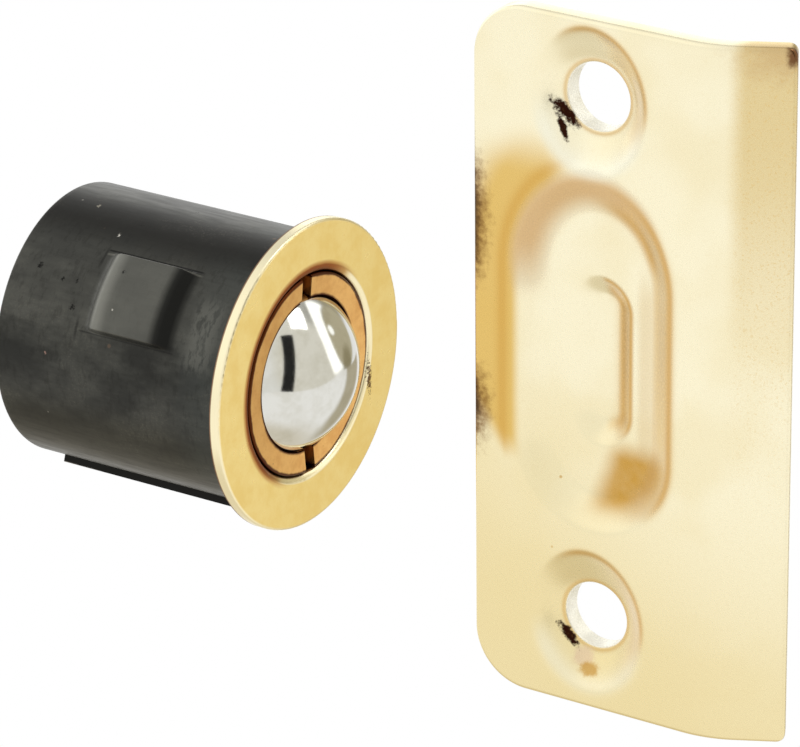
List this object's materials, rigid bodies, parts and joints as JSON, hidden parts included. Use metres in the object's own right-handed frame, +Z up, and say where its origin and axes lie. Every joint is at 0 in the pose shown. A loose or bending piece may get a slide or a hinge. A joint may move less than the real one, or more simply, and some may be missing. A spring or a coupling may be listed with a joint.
{
  "type": "drive-in ball catch",
  "caption": "Flanged black barrel driven into a door's edge, with a sprung ball in a threaded adjuster sleeve, and a stamped strike plate with a full lip.",
  "frame": {"origin": "on the barrel's axis, in the plane where the flange seats on the door's edge", "axes": "+X out of the flange along the barrel's axis, +Z up, the strike's show face looks along -Y"},
  "size_m": [0.0712, 0.026, 0.0571],
  "materials": {
    "blackened_steel": "satin blackened sheet steel with faint streaks and pits",
    "turned_brass": "satin turned brass with small pits",
    "copper_brass": "warm copper-toned brass, darker in the thread",
    "polished_steel": "polished steel ball",
    "pressed_steel": "plain pressed steel",
    "spring_steel": "oiled spring wire",
    "plated_brass": "satin brass plating on stamped steel"
  },
  "bodies": {
    "catch_body": {"barrel_shell": "blackened_steel", "face_bushing": "turned_brass", "strike_plate": "plated_brass"},
    "adjuster_carriage": {"compression_spring": "spring_steel"},
    "adjuster": {"adjuster_sleeve": "copper_brass", "rear_plug": "pressed_steel"},
    "ball_carriage": {"spring_cup": "pressed_steel"},
    "ball": {"steel_ball": "polished_steel"}
  },
  "joints": [
    {"name": "adjuster_advance", "type": "slide", "parent": "catch_body", "child": "adjuster_carriage", "axis": [1, 0, 0], "range_m": [-0.002, 0.001]},
    {"name": "adjuster_turn", "type": "hinge", "parent": "adjuster_carriage", "child": "adjuster", "pos_m": [0, 0, 0], "axis": [1, 0, 0], "range_deg": [-720, 360]},
    {"name": "ball_travel", "type": "slide", "parent": "adjuster", "child": "ball_carriage", "axis": [-1, 0, 0], "range_m": [0, 0.0031], "stiffness_N_per_m": 2000, "springref_m": -0.003, "deforming": ["compression_spring"]},
    {"name": "ball_roll", "type": "hinge", "parent": "ball_carriage", "child": "ball", "pos_m": [-0.00325, 0, 0], "axis": [0, 0, 1], "continuous": true}
  ],
  "couplings": [
    {"joint": "adjuster_advance", "follows": "adjuster_turn", "m_per_rad": 0.00015915}
  ]
}
